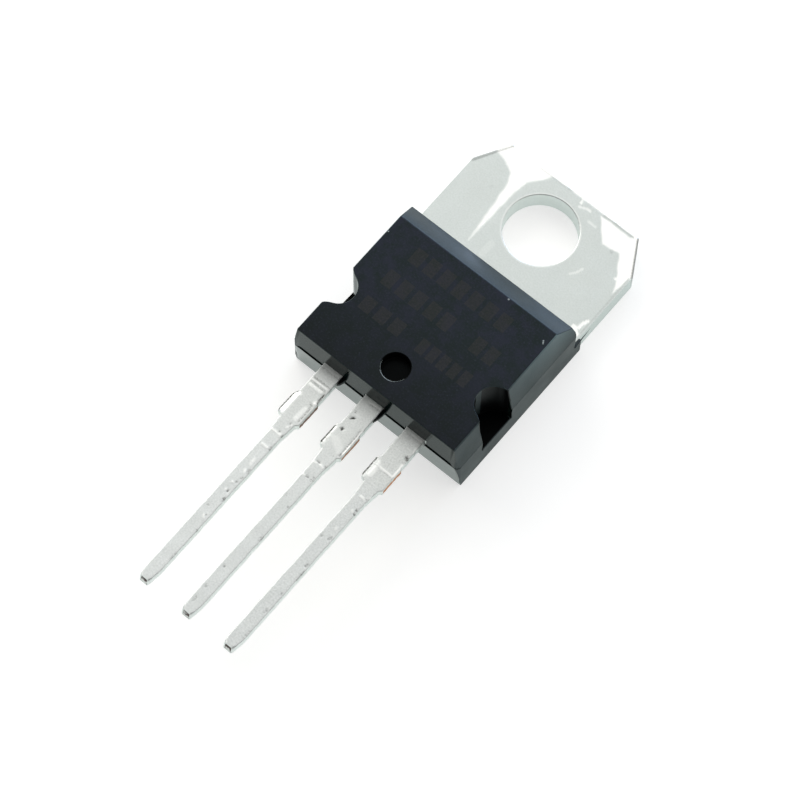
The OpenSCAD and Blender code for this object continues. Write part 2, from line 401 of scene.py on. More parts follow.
def black_epoxy(name, rough, dark, light, relief, ior, painted_sheen="#000000", tint="#edfbff"):
    """Black epoxy moulding compound with glass and silica filler, from its dark resin to its light filler.
    A painted sheen pales it upward from the parting line, and more towards the back."""
    made, tree, out = material(name)
    place = add(tree, "ShaderNodeTexCoord").outputs["Object"]
    axes = add(tree, "ShaderNodeSeparateXYZ", {0: place}).outputs
    filler = add(tree, "ShaderNodeTexNoise", {
        "Vector": place, "Scale": 1 / (FILLER_GRAIN * MM), "Detail": 4.0, "Roughness": 0.7}).outputs["Fac"]
    flow = add(tree, "ShaderNodeTexNoise", {
        "Vector": place, "Scale": 1 / (FLOW_CLOUD * MM), "Detail": 3.0}).outputs["Fac"]
    speck = add(tree, "ShaderNodeMapRange", {
        "Value": filler, "From Min": 0.32, "From Max": 0.68}).outputs["Result"]
    colour = add(tree, "ShaderNodeMix", {
        0: speck, 6: linear(dark), 7: linear(light)}, data_type="RGBA").outputs[2]
    # Painted sheen: the colour is lightened upward from the parting line and towards the back, standing in
    # for light on the sides.
    upward = add(tree, "ShaderNodeMapRange", {
        "Value": axes["Z"], "From Min": 2.5 * MM, "From Max": 4.5 * MM}).outputs["Result"]
    painted_light_backward = add(tree, "ShaderNodeMapRange", {
        "Value": axes["Y"], "From Min": -9.5 * MM, "From Max": -4.5 * MM,
        "To Min": 0.1, "To Max": 1.0}).outputs["Result"]
    painted_sheen_share = add(tree, "ShaderNodeMath", {0: upward, 1: painted_light_backward}, operation="MULTIPLY").outputs[0]
    colour = add(tree, "ShaderNodeMix", {
        0: painted_sheen_share, 6: colour, 7: linear(painted_sheen)}, data_type="RGBA", blend_type="ADD").outputs[2]
    gloss = add(tree, "ShaderNodeMapRange", {
        "Value": flow, "From Min": 0.3, "From Max": 0.7,
        "To Min": rough[0], "To Max": rough[1]}).outputs["Result"]
    bumps = add(tree, "ShaderNodeBump", {
        "Height": filler, "Strength": 1.0, "Distance": relief * MM}).outputs[0]
    skin = add(tree, "ShaderNodeBsdfPrincipled", {
        "Base Color": colour, "Roughness": gloss, "IOR": ior, "Specular Tint": linear(tint), "Normal": bumps})
    tree.links.new(skin.outputs[0], out.inputs["Surface"])
    return made


def laser_fields(tree, place):
    """Where the laser has matted the marked face: rows of plain blocks that stand for a marking."""
    axes = add(tree, "ShaderNodeSeparateXYZ", {0: place}).outputs
    total = None
    for left, right, middle, tall, count in LASER_ROWS:
        cell = (right - left) / count
        half_row = (right - left) / 2 * MM
        across = add(tree, "ShaderNodeMath", {0: axes["X"], 1: left * MM}, operation="SUBTRACT").outputs[0]
        inside = add(tree, "ShaderNodeMath", {
            0: across, 1: half_row, 2: half_row}, operation="COMPARE").outputs[0]
        share = add(tree, "ShaderNodeMath", {0: across, 1: cell * MM}, operation="FLOORED_MODULO").outputs[0]
        block = add(tree, "ShaderNodeMath", {
            0: share, 1: cell / 2 * MM, 2: LASER_BLOCK * cell * MM}, operation="COMPARE").outputs[0]
        row = add(tree, "ShaderNodeMath", {
            0: axes["Y"], 1: middle * MM, 2: tall / 2 * MM}, operation="COMPARE").outputs[0]
        field = add(tree, "ShaderNodeMath", {0: inside, 1: block}, operation="MULTIPLY").outputs[0]
        field = add(tree, "ShaderNodeMath", {0: field, 1: row}, operation="MULTIPLY").outputs[0]
        if total is None:
            total = field
        else:
            total = add(tree, "ShaderNodeMath", {0: total, 1: field}, operation="ADD").outputs[0]
    return total


def marked_epoxy():
    """The marked face: black epoxy moulded against a spark-eroded steel, so it is matte and finely grained,
    blue-black in clouds and green-black between them, with laser-matted blocks and a few pale nicks."""
    made, tree, out = material("spark_eroded_black_epoxy")
    place = add(tree, "ShaderNodeTexCoord").outputs["Object"]
    filler = add(tree, "ShaderNodeTexNoise", {
        "Vector": place, "Scale": 1 / (FILLER_GRAIN * MM), "Detail": 4.0, "Roughness": 0.7}).outputs["Fac"]
    flow = add(tree, "ShaderNodeTexNoise", {
        "Vector": place, "Scale": 1 / (MARKED_CLOUD * MM), "Detail": 3.0, "Roughness": 0.6}).outputs["Fac"]
    along = add(tree, "ShaderNodeSeparateXYZ", {0: place}).outputs["Y"]
    # Painted shade: the marked face's colour darkens towards its front.
    painted_light_backward = add(tree, "ShaderNodeMapRange", {
        "Value": along, "From Min": FRONT * MM, "From Max": (FRONT + 5) * MM,
        "To Min": 0.15, "To Max": 1.0}).outputs["Result"]
    both = add(tree, "ShaderNodeMath", {0: filler, 1: 0.8, 2: flow}, operation="MULTIPLY_ADD").outputs[0]
    cloud = add(tree, "ShaderNodeMapRange", {
        "Value": both, "From Min": 0.76, "From Max": 1.04}).outputs["Result"]
    green = add(tree, "ShaderNodeMix", {
        0: painted_light_backward, 6: linear("#040606"), 7: linear("#141d1e")}, data_type="RGBA").outputs[2]
    blue = add(tree, "ShaderNodeMix", {
        0: painted_light_backward, 6: linear("#07090f"), 7: linear("#20222f")}, data_type="RGBA").outputs[2]
    colour = add(tree, "ShaderNodeMix", {0: cloud, 6: green, 7: blue}, data_type="RGBA").outputs[2]
    grain = add(tree, "ShaderNodeMapRange", {
        "Value": filler, "From Min": 0.56, "From Max": 0.72, "To Max": 0.75}).outputs["Result"]
    colour = add(tree, "ShaderNodeMix", {
        0: grain, 6: colour, 7: linear("#2c3237")}, data_type="RGBA").outputs[2]
    for x, y, size in NICKS:
        reach = add(tree, "ShaderNodeVectorMath", {
            0: place, 1: mm(x, y, TOP)}, operation="DISTANCE").outputs["Value"]
        nick = add(tree, "ShaderNodeMapRange", {
            "Value": reach, "From Min": size * MM, "From Max": 0.5 * size * MM}).outputs["Result"]
        colour = add(tree, "ShaderNodeMix", {
            0: nick, 6: colour, 7: linear("#98a0a2")}, data_type="RGBA").outputs[2]
    hatch = add(tree, "ShaderNodeMapRange", {
        "Value": filler, "From Min": 0.36, "From Max": 0.60,
        "To Min": 0.25, "To Max": 0.55}).outputs["Result"]
    marked = add(tree, "ShaderNodeMath", {
        0: laser_fields(tree, place), 1: hatch}, operation="MULTIPLY").outputs[0]
    colour = add(tree, "ShaderNodeMix", {
        0: marked, 6: colour, 7: linear("#322f2c")}, data_type="RGBA").outputs[2]
    bumps = add(tree, "ShaderNodeBump", {
        "Height": filler, "Strength": 1.0, "Distance": 0.004 * MM}).outputs[0]
    skin = add(tree, "ShaderNodeBsdfPrincipled", {
        "Base Color": colour, "Roughness": 0.6, "IOR": 1.29, "Specular Tint": linear("#ecfcff"),
        "Normal": bumps})
    tree.links.new(skin.outputs[0], out.inputs["Surface"])
    return made


def tin_plate(name, dark, light, rough, broken):
    """Matte tin plated over rolled copper: pale satin clouds, white where it was rubbed bright and where a
    highlight is painted, and grey-brown where it is stained and where shade is painted. The grain of the
    plating breaks up the marks, from 0, clean-edged, to 1, ragged."""
    made, tree, out = material(name)
    place = add(tree, "ShaderNodeTexCoord").outputs["Object"]
    cloud = add(tree, "ShaderNodeTexNoise", {
        "Vector": place, "Scale": 1 / (TIN_CLOUD * MM), "Detail": 5.0, "Roughness": 0.6}).outputs["Fac"]
    grain = add(tree, "ShaderNodeTexNoise", {
        "Vector": place, "Scale": 1 / (TIN_GRAIN * MM), "Detail": 3.0, "Roughness": 0.7}).outputs["Fac"]

    def broken_up(attribute):
        """The level of a mark, with its edges made ragged by the grain."""
        level = add(tree, "ShaderNodeAttribute", attribute_name=attribute).outputs["Fac"]
        ragged = add(tree, "ShaderNodeMath", {
            0: grain, 1: -2.4 * broken, 2: 1.2 * broken}, operation="MULTIPLY_ADD").outputs[0]
        near = add(tree, "ShaderNodeMapRange", {
            "Value": level, "From Min": 0.02, "From Max": 0.25}).outputs["Result"]
        ragged = add(tree, "ShaderNodeMath", {0: ragged, 1: near}, operation="MULTIPLY").outputs[0]
        return add(tree, "ShaderNodeMath", {0: level, 1: ragged}, operation="ADD", use_clamp=True).outputs[0]

    # The white is partly rubbed tin and partly a painted highlight, and the grey-brown partly stains and
    # partly painted shade.
    rubbed_and_highlight = broken_up("rubbed_and_highlight")
    stained_and_shade = broken_up("stained_and_shade")
    pale = add(tree, "ShaderNodeMapRange", {
        "Value": grain, "From Min": 0.34, "From Max": 0.66, "To Min": 0.0, "To Max": 0.6}).outputs["Result"]
    tone = add(tree, "ShaderNodeMath", {0: cloud, 1: 0.4, 2: pale}, operation="MULTIPLY_ADD").outputs[0]
    colour = add(tree, "ShaderNodeMix", {
        0: tone, 6: linear(dark), 7: linear(light)}, data_type="RGBA").outputs[2]
    colour = add(tree, "ShaderNodeMix", {
        0: rubbed_and_highlight, 6: colour, 7: linear("#fbfcfa")}, data_type="RGBA").outputs[2]
    colour = add(tree, "ShaderNodeMix", {
        0: stained_and_shade, 6: colour, 7: linear("#3a3a37")}, data_type="RGBA").outputs[2]
    satin = add(tree, "ShaderNodeMapRange", {
        "Value": cloud, "From Min": 0.3, "From Max": 0.7,
        "To Min": rough - 0.04, "To Max": rough + 0.04}).outputs["Result"]
    satin = add(tree, "ShaderNodeMix", {0: rubbed_and_highlight, 2: satin, 3: 0.24}).outputs[0]
    bumps = add(tree, "ShaderNodeBump", {
        "Height": grain, "Strength": 1.0, "Distance": 0.004 * MM}).outputs[0]
    skin = add(tree, "ShaderNodeBsdfPrincipled", {
        "Base Color": colour, "Metallic": 1.0, "Roughness": satin, "Normal": bumps})
    tree.links.new(skin.outputs[0], out.inputs["Surface"])
    return made


def bare_copper():
    """Copper laid bare where the tie bar was sheared off: brown on the left, brighter towards the right,
    with the torn plating hanging over its upper edge."""
    made, tree, out = material("sheared_bare_copper")
    place = add(tree, "ShaderNodeTexCoord").outputs["Object"]
    axes = add(tree, "ShaderNodeSeparateXYZ", {0: place}).outputs
    streak = add(tree, "ShaderNodeTexNoise", {
        "Vector": place, "Scale": 1 / (SHEAR_STREAK * MM), "Detail": 3.0}).outputs["Fac"]
    fresh = add(tree, "ShaderNodeMapRange", {
        "Value": axes["X"], "From Min": -2.5 * MM, "From Max": 3.2 * MM}).outputs["Result"]
    old = add(tree, "ShaderNodeMix", {
        0: streak, 6: linear("#140d0a"), 7: linear("#7e4a2c")}, data_type="RGBA").outputs[2]
    new = add(tree, "ShaderNodeMix", {
        0: streak, 6: linear("#8a4c26"), 7: linear("#e09a64")}, data_type="RGBA").outputs[2]
    colour = add(tree, "ShaderNodeMix", {0: fresh, 6: old, 7: new}, data_type="RGBA").outputs[2]
    torn = add(tree, "ShaderNodeMath", {
        0: streak, 1: 0.25 * MM, 2: axes["Z"]}, operation="MULTIPLY_ADD").outputs[0]
    plated = add(tree, "ShaderNodeMapRange", {
        "Value": torn, "From Min": 3.06 * MM, "From Max": 3.11 * MM}).outputs["Result"]
    colour = add(tree, "ShaderNodeMix", {
        0: plated, 6: colour, 7: linear("#dfe2e0")}, data_type="RGBA").outputs[2]
    skin = add(tree, "ShaderNodeBsdfPrincipled", {
        "Base Color": colour, "Metallic": 1.0, "Roughness": 0.45})
    tree.links.new(skin.outputs[0], out.inputs["Surface"])
    return made


def oxidised_copper():
    """The cropped ends of the leads: copper gone dark brown along the top, with tin drawn over the rest."""
    made, tree, out = material("cropped_oxidised_copper")
    place = add(tree, "ShaderNodeTexCoord").outputs["Object"]
    streak = add(tree, "ShaderNodeTexNoise", {
        "Vector": place, "Scale": 1 / (CROP_STREAK * MM), "Detail": 3.0}).outputs["Fac"]
    level = add(tree, "ShaderNodeSeparateXYZ", {0: place}).outputs["Z"]
    ragged = add(tree, "ShaderNodeMath", {
        0: streak, 1: 0.9 * MM, 2: level}, operation="MULTIPLY_ADD").outputs[0]
    bare = add(tree, "ShaderNodeMapRange", {
        "Value": ragged, "From Min": 3.12 * MM, "From Max": 3.24 * MM}).outputs["Result"]
    colour = add(tree, "ShaderNodeMix", {
        0: bare, 6: linear("#e6e6e4"), 7: linear("#4a3a36")}, data_type="RGBA").outputs[2]
    skin = add(tree, "ShaderNodeBsdfPrincipled", {
        "Base Color": colour, "Metallic": 0.7, "Roughness": 0.5})
    tree.links.new(skin.outputs[0], out.inputs["Surface"])
    return made


def inside_finish(name, dark, light, grain_size, metallic, rough):
    """A finish for what the body hides, mottled at the size of its grain, in mm."""
    made, tree, out = material(name)
    place = add(tree, "ShaderNodeTexCoord").outputs["Object"]
    grain = add(tree, "ShaderNodeTexNoise", {
        "Vector": place, "Scale": 1 / (grain_size * MM), "Detail": 3.0}).outputs["Fac"]
    colour = add(tree, "ShaderNodeMix", {
        0: grain, 6: linear(dark), 7: linear(light)}, data_type="RGBA").outputs[2]
    satin = add(tree, "ShaderNodeMapRange", {
        "Value": grain, "To Min": rough - 0.05, "To Max": rough + 0.05}).outputs["Result"]
    skin = add(tree, "ShaderNodeBsdfPrincipled", {
        "Base Color": colour, "Metallic": metallic, "Roughness": satin})
    tree.links.new(skin.outputs[0], out.inputs["Surface"])
    return made


# The body is all one epoxy, and each of its faces looks as the steel that moulded it, or its wear, made it;
# some finishes also carry painted shade, a painted highlight or a painted sheen.
BODY_FINISHES = {
    "marked_face": marked_epoxy(),
    # Moulded against polished steel: the front wall below the parting line mirrors the table.
    "front_wall": black_epoxy(
        "polished_mould_black_epoxy", rough=(0.10, 0.16), dark="#030806", light="#182822",
        relief=0.0006, ior=1.40, tint="#e6fdfa"),
    # Moulded against matte steel: the sides scatter the light, and a painted sheen pales them near the top.
    "side_walls": black_epoxy(
        "matte_mould_black_epoxy", rough=(0.50, 0.60), dark="#0a1112", light="#1b292b",
        relief=0.003, ior=1.5, painted_sheen="#66787c"),
    # The front wall above the parting line: glossy under a film of mould wax, which dims its reflections.
    "upper_front": black_epoxy(
        "waxed_mould_black_epoxy", rough=(0.12, 0.18), dark="#030707", light="#1a2c2b",
        relief=0.0006, ior=1.20, tint="#e4fbfa"),
    # The slope at the back, above the tab: satin, with a bluish sheen.
    "tab_end": black_epoxy(
        "satin_mould_black_epoxy", rough=(0.36, 0.44), dark="#0c1217", light="#202a32",
        relief=0.002, ior=1.44, tint="#c9ecff"),
    # Moulded round a polished core pin: the left notch is smooth and nearly black.
    "notch_wall": black_epoxy(
        "core_pin_black_epoxy", rough=(0.16, 0.24), dark="#040505", light="#080a0a",
        relief=0.0006, ior=1.5),
    # Where an ejector pin pressed, and on the step, the flash and the notch floors: dull and the darkest, as
    # painted shade.
    "painted_shade_pit": black_epoxy(
        "painted_shade_black_epoxy", rough=(0.3, 0.4), dark="#020202", light="#050606",
        relief=0.002, ior=1.12),
    # Moulded round a worn core pin: the right notch is duller than the left one.
    "dull_notch": black_epoxy(
        "worn_core_pin_black_epoxy", rough=(0.32, 0.42), dark="#040505", light="#0b0a0c",
        relief=0.002, ior=1.2),
    # The back-facing side of the dimple's rim: pale specks in the black resin, as a painted highlight.
    "painted_highlight_rim": black_epoxy(
        "rim_highlight_black_epoxy", rough=(0.4, 0.5), dark="#020303", light="#9aa2a2",
        relief=0.004, ior=1.4),
}
# The leads and the plate are one strip of copper, plated with matte tin before its ends were cropped.
STRIP_FINISHES = {
    # The leads' plating is paler and duller, with ragged marks.
    "lead_tin": tin_plate(
        "tin_plated_copper_lead", dark="#c6cac8", light="#e2e4e3", rough=0.48, broken=0.8),
    "copper": bare_copper(),
    "cropped": oxidised_copper(),
    # The plate's plating is greyer and glossier, with clean-edged marks.
    "plate_tin": tin_plate(
        "tin_plated_copper_plate", dark="#c2c8c5", light="#d1d6d4", rough=0.40, broken=0.12),
}
# The place that each of them has among the materials of a lead or of the plate.
STRIP_ORDER = list(STRIP_FINISHES)


# ---------------------------------------------------------------- moulded body

# Where the front wall is divided, so that its step shows between its corners only.
STEP_ENDS = (-4.85, -4.6, 4.6, 4.85)
# The front left corner is cut off straight, from this place at the parting line.
CUT_CORNER = (-4.9, -12.45)
# The notches' mouths, where their flare starts and its radius, and the share that is left of their size.
NOTCH_MOUTH = 4.75
FLARE_START = 4.4
FLARE_R = 0.5
NOTCH_SHARE = 0.92
# The widest that a mouth is flared: at the front of both, and at the back of the left and of the right one.
FRONT_FLARE = 0.27
LEFT_BACK_FLARE = 0.40
RIGHT_BACK_FLARE = 0.06
# What a notch and its mouth take up: above this level, and this far along from the notch's middle.
NOTCH_BOTTOM = 1.49
NOTCH_REACH = 1.27
# The hollow in the left side, as two boxes that overlap: lower and upper corner of each.
LEFT_HOLLOW = [
    ((-SIDE - 1, -10.72, -1), (-4.80, -8.05, 1.52)),
    ((-SIDE - 1, -9.6, -1), (-4.95, -7.6, 3.7)),
]
# The thin skins of compound beside the tab, which end behind this place, and how much shorter than in the
# CAD model the right one and the left one are.
SKIN_END = -3.2
RIGHT_SKIN_SHORT = 0.15
LEFT_SKIN_SHORT = 0.85
# Flash beside the input lead and beside the middle lead: its outline, bottom and top.
FLASH = [
    ([(-2.05, -12.5), (-1.78, -12.5), (-1.79, -12.8), (-1.86, -12.98), (-1.97, -13.1)], 2.75, 2.98),
    ([(0.45, -12.5), (0.74, -12.5), (0.72, -12.9), (0.68, -13.15), (0.62, -13.35), (0.55, -13.5)], 2.8, 3.0),
]
# How round the body's edges are, and its worn one.
BODY_EDGE_R = 0.05
WORN_EDGE_R = 0.10


def cut_away(form, low_corner, high_corner):
    """Cuts a box-shaped recess, given by its corners in mm, out of a closed form."""
    tool = bmesh.new()
    low_corner = Vector(low_corner)
    high_corner = Vector(high_corner)
    bmesh.ops.create_cube(
        tool, size=1, matrix=Matrix.Translation((low_corner + high_corner) / 2 * MM) @ Matrix.Diagonal(
            ((high_corner - low_corner) * MM).to_4d()))
    bmesh.ops.bevel(
        tool, geom=tool.edges[:], offset=0.08 * MM, offset_type="OFFSET", segments=2, profile=0.5,
        affect="EDGES", clamp_overlap=True, material=-1)
    pair = []
    for source in (form, tool):
        mesh = bpy.data.meshes.new("workpiece")
        source.to_mesh(mesh)
        source.free()
        pair.append(bpy.data.objects.new("workpiece", mesh))
        bpy.context.scene.collection.objects.link(pair[-1])
    saw = pair[0].modifiers.new("saw", "BOOLEAN")
    saw.operation = "DIFFERENCE"
    saw.solver = "EXACT"
    saw.object = pair[1]
    cut_form = bmesh.new()
    cut_form.from_mesh(pair[0].evaluated_get(bpy.context.evaluated_depsgraph_get()).to_mesh())
    for used in pair:
        bpy.data.meshes.remove(used.data)
    return cut_form


def close_step(form):
    """The halves of the mould meet flush, except along the front wall between its two corners."""
    for place in STEP_ENDS:
        walls = [f for f in form.faces if f.calc_center_median().y < (FRONT + 0.3) * MM]
        slice_at(form, walls, 0, place)
    for corner in form.verts:
        x, y, z = corner.co / MM
        past_side = max(abs(x) - (SIDE - CORNER_R), 0)
        past_front = max(FRONT + CORNER_R - y, 0) if abs(x) > 4.8 else 0
        past_back = max(y - (BACK - CORNER_R), 0)
        out = Vector((math.copysign(past_side, x), past_back - past_front, 0))
        on_lower_half = z < PARTING - 0.01 or abs(x) > SIDE - 0.01 or y < FRONT + 0.01 or y > BACK - 0.01
        if not on_lower_half and 0.02 < out.length < CORNER_R - 0.03:
            corner.co += out.normalized() * (STEP - 0.004) * (TOP - z) / (TOP - PARTING) * MM


def cut_corner(form):
    """The front left corner is cut off straight where the others are round."""
    for corner in form.verts:
        x, y, z = corner.co / MM
        rise = max(z - PARTING, 0) / (TOP - PARTING)
        across = CUT_CORNER[0] + 0.08 * rise - x
        along = CUT_CORNER[1] - 0.15 * rise - y
        if across > 0.001 and along > 0.001:
            corner.co += mm(across, along, 0) * (1 - math.hypot(across, along) / (across + along))


def flare_notches(form):
    """The side notches as moulded: a little shallower than half round, their mouths flared."""
    for corner in form.verts:
        x, y, z = corner.co / MM
        if abs(x) < NOTCH_INNER or z < NOTCH_BOTTOM or abs(y - NOTCH_MIDDLE) > NOTCH_REACH:
            continue
        out = abs(x)
        if out < NOTCH_MOUTH:
            out = NOTCH_MOUTH - NOTCH_SHARE * (NOTCH_MOUTH - out)
        along = min(max(y - NOTCH_MIDDLE, -NOTCH_R), NOTCH_R)
        past = min(max(out - FLARE_START, 0.0), 0.98 * FLARE_R)
        widest = FRONT_FLARE
        if along > 0:
            widest = LEFT_BACK_FLARE if x < 0 else RIGHT_BACK_FLARE
        flare = min(FLARE_R - math.sqrt(FLARE_R ** 2 - past ** 2), widest)
        flare = math.copysign(flare, along) * smooth_between(abs(along), 0.5, 0.9)
        corner.co = mm(math.copysign(out, x), NOTCH_MIDDLE - 0.07 + NOTCH_SHARE * along + flare, z)


def shorten_skins(form):
    """The thin skins beside the tab came out short of their mould, the left one more than the right one."""
    for corner in form.verts:
        if corner.co.y > SKIN_END * MM:
            corner.co.y -= (RIGHT_SKIN_SHORT if corner.co.x > 0 else LEFT_SKIN_SHORT) * MM


def add_flash(form, outline, bottom, top):
    """A thin web of compound squeezed out of the mould beside a lead, tapering to nothing."""
    face = form.faces.new([form.verts.new(mm(x, y, bottom)) for x, y in outline])
    made = bmesh.ops.extrude_face_region(form, geom=[face])["geom"]
    upper = [g for g in made if isinstance(g, bmesh.types.BMVert)]
    bmesh.ops.translate(form, verts=upper, vec=mm(0, 0, top - bottom))
    walls = list(dict.fromkeys([face] + [f for v in upper for f in v.link_faces]))
    bmesh.ops.recalc_face_normals(form, faces=walls)


def is_left_sharp(edge):
    """Whether an edge is left sharp: on the parting line, at a lead's opening, at a front corner or
    round the hollow in the left side."""
    ends = [v.co / MM for v in edge.verts]
    level = all(abs(p.z - PARTING) < 0.02 for p in ends)
    opening = all(
        p.y < FRONT + 0.2 and PARTING - 0.01 < p.z < LEAD_TOP + 0.01 and abs(p.x) < 4.6 for p in ends)
    hollow = all(p.x < -4.5 and p.z < 3.75 and -10.8 < p.y < -7.5 for p in ends)
    corner = all(abs(p.x) > 4.6 and p.y < FRONT + 0.5 and 0.1 < p.z < TOP - 0.01 for p in ends)
    return level or opening or hollow or corner


def is_worn(edge):
    """Whether an edge is the worn one, along the top of the right side."""
    ends = [v.co / MM for v in edge.verts]
    return all(p.x > 4.7 and p.z > TOP - 0.02 for p in ends) and abs(ends[0].y - ends[1].y) > 0.5


def is_outside(edge):
    """Whether an edge is on the outside, not in the pockets that hold the leads, the chip and the wires."""
    return all(
        abs(v.co.x) > NOTCH_INNER * MM or v.co.z > (TOP - 0.6) * MM or v.co.z < 0.01 * MM
        or v.co.y < (FRONT + 0.15) * MM or v.co.y > -4.0 * MM for v in edge.verts)


def body_finish(face):
    """The name of the finish that a face of the body has, by its place and the way it faces."""
    x, y, z = face.calc_center_median() / MM
    upward = face.normal.z > 0.9
    from_dimple = math.hypot(x - DIMPLE[0], y - DIMPLE[1])
    on_step = upward and abs(z - PARTING) < 0.05
    on_flash = y < FRONT - 0.01
    in_dimple = from_dimple < DIMPLE_R and TOP - 0.7 < z < TOP - 0.07
    at_rim = from_dimple < DIMPLE_R + 0.13 and z > TOP - 0.07 and face.normal.z < 0.97
    in_notch = (
        NOTCH_INNER < abs(x) < SIDE - 0.2 and abs(y - NOTCH_MIDDLE) < 1.6 and 1.3 < z < TOP - 0.03
        and abs(face.normal.x) < 0.98)
    # The dimple, the step, the flash and the notch floors get the darkest finish as painted shade.
    if on_step or on_flash or in_dimple:
        return "painted_shade_pit"
    if at_rim:
        # The rim's back-facing side gets a painted highlight, and the rest of it painted shade.
        return "painted_highlight_rim" if face.normal.y > 0.2 else "painted_shade_pit"
    if in_notch and face.normal.z > 0.5:
        return "painted_shade_pit"
    if in_notch:
        return "notch_wall" if x < 0 else "dull_notch"
    if upward:
        return "marked_face" if z > 4 else "side_walls"
    if face.normal.z > 0.4 and face.normal.y > 0.3:
        return "tab_end"
    if face.normal.y < -0.95:
        return "front_wall" if z < PARTING else "upper_front"
    return "side_walls"


def make_body():
    """The body: edges a little rounded, the marked face spark-eroded, flash beside two of the leads."""
    form = merged_copy("moulded_body")
    for low_corner, high_corner in LEFT_HOLLOW:
        form = cut_away(form, low_corner, high_corner)
    close_step(form)
    cut_corner(form)
    flare_notches(form)
    shorten_skins(form)
    round_edges(form, WORN_EDGE_R, is_worn, segments=4, clamped=False)
    round_edges(form, BODY_EDGE_R, lambda edge: is_outside(edge) and not is_left_sharp(edge), clamped=False)
    for outline, bottom, top in FLASH:
        add_flash(form, outline, bottom, top)
    form.normal_update()
    order = list(BODY_FINISHES)
    for face in form.faces:
        face.material_index = order.index(body_finish(face))
    make_piece(form, "body_shell", "moulded_body", BODY_FINISHES.values())


# ---------------------------------------------------------------- plate and leads

# How far a lead reaches to the left and to the right of its middle, in mm, along its length:
# shoulder, the stub left by the cut-off tie bar, the narrow leg and the cropped tip.
LEFT_EDGE = [
    (-12, 0.57), (-14.42, 0.57), (-14.5, 0.60), (-14.72, 0.73), (-15.75, 0.74), (-15.9, 0.68), (-15.98, 0.45),
    (-16.75, 0.39), (-16.85, 0.365), (-25.6, 0.365), (-25.9, 0.35), (-26.1, 0.32), (-26.2, 0.28),
]
RIGHT_EDGE = [
    (-12, 0.57), (-14.46, 0.57), (-14.5, 0.61), (-15.92, 0.60), (-15.98, 0.46),
    (-16.75, 0.39), (-16.85, 0.365), (-25.3, 0.365), (-25.7, 0.34), (-26.05, 0.29), (-26.2, 0.25),
]
# How many rings a lead's free length is drawn out in.
LEAD_RINGS = 226
# How round a lead's edges are, and how much rounder at the tip, which the shears also slant.
LEAD_EDGE_R = 0.055
TIP_ROUNDER = 0.07
TIP_SLANT = 0.07
# The size and the height of the small and of the broad unevenness of a lead's sides.
SIDE_RIPPLES = [(0.16, 0.018), (0.9, 0.016)]
# Where in the noise the unevenness of a lead's left side, right side and top comes from.
LEFT_RIPPLES = 1
RIGHT_RIPPLES = 9
TOP_RIPPLES = 7
# How finely the tab is sliced, so that its marks have edges.
TAB_SLICE = 0.07
# How round the hole's upper edge and the tab's other edges are.
HOLE_EDGE_R = 0.045
TAB_EDGE_R = 0.06

# Marks on the plate, in mm: patches painted white as highlights, strokes that are partly rubbed bright by the
# feeding and clamping of the strip and partly painted highlights, and stained strokes, with painted shade
# along the chamfers. A patch is an outline, its soft margin and its strength, and a stroke is its start, its
# end, its half width and its strength.
PLATE_HIGHLIGHT_PATCHES = [
    ([(-2.4, -2.7), (-2.7, 0.0), (-2.85, 1.0), (-3.1, 1.45), (-3.6, 1.75), (-4.5, 2.0), (-4.1, 2.9),
      (-1.2, 2.9), (-1.6, 2.2), (-2.15, 1.6), (-2.3, 0.4)], 0.08, 1.0),
    ([(1.75, 2.5), (2.75, 1.35), (3.7, 1.5), (4.55, 0.2), (4.75, -0.4), (4.9, 0.75), (5.1, 0.9), (4.0, 2.8),
      (3.6, 2.5)], 0.06, 1.0),
]
PLATE_RUBBED_AND_HIGHLIGHTS = [
    ((-4.9, 2.95), (4.2, 2.95), 0.28, 1.0),
    ((0.55, 2.7), (0.62, 2.42), 0.03, 0.8),
    ((0.65, 2.2), (1.2, 2.35), 0.03, 0.55),
    ((1.5, 1.85), (1.95, 1.85), 0.03, 0.35),
    ((2.5, -0.9), (2.75, -0.65), 0.03, 0.4),
    ((2.75, -0.65), (2.85, -0.3), 0.03, 0.4),
    ((4.75, -2.3), (4.6, -2.85), 0.06, 0.9),
    ((4.4, -2.95), (4.75, -3.15), 0.1, 0.9),
    ((-1.4, -2.1), (-1.42, -2.8), 0.15, 0.1),
    ((4.4, 0.35), (4.4, 0.3), 0.03, 1.0),
]
PLATE_STAINED_AND_SHADE = [
    ((3.93, 2.72), (5.0, 0.85), 0.03, 0.7),
    ((-5.0, 0.9), (-4.45, 1.9), 0.14, 0.42),
    ((-4.45, 1.9), (-3.97, 2.72), 0.12, 0.38),
    ((1.9, 2.57), (3.7, 2.6), 0.02, 0.25),
    ((-2.0, 2.58), (-0.2, 2.6), 0.02, 0.12),
    ((4.93, 0.7), (4.93, -3.0), 0.02, 0.18),
    ((3.35, 1.32), (3.38, 1.3), 0.06, 0.15),
    ((-3.3, 0.3), (-3.35, 0.2), 0.05, 0.06),
]

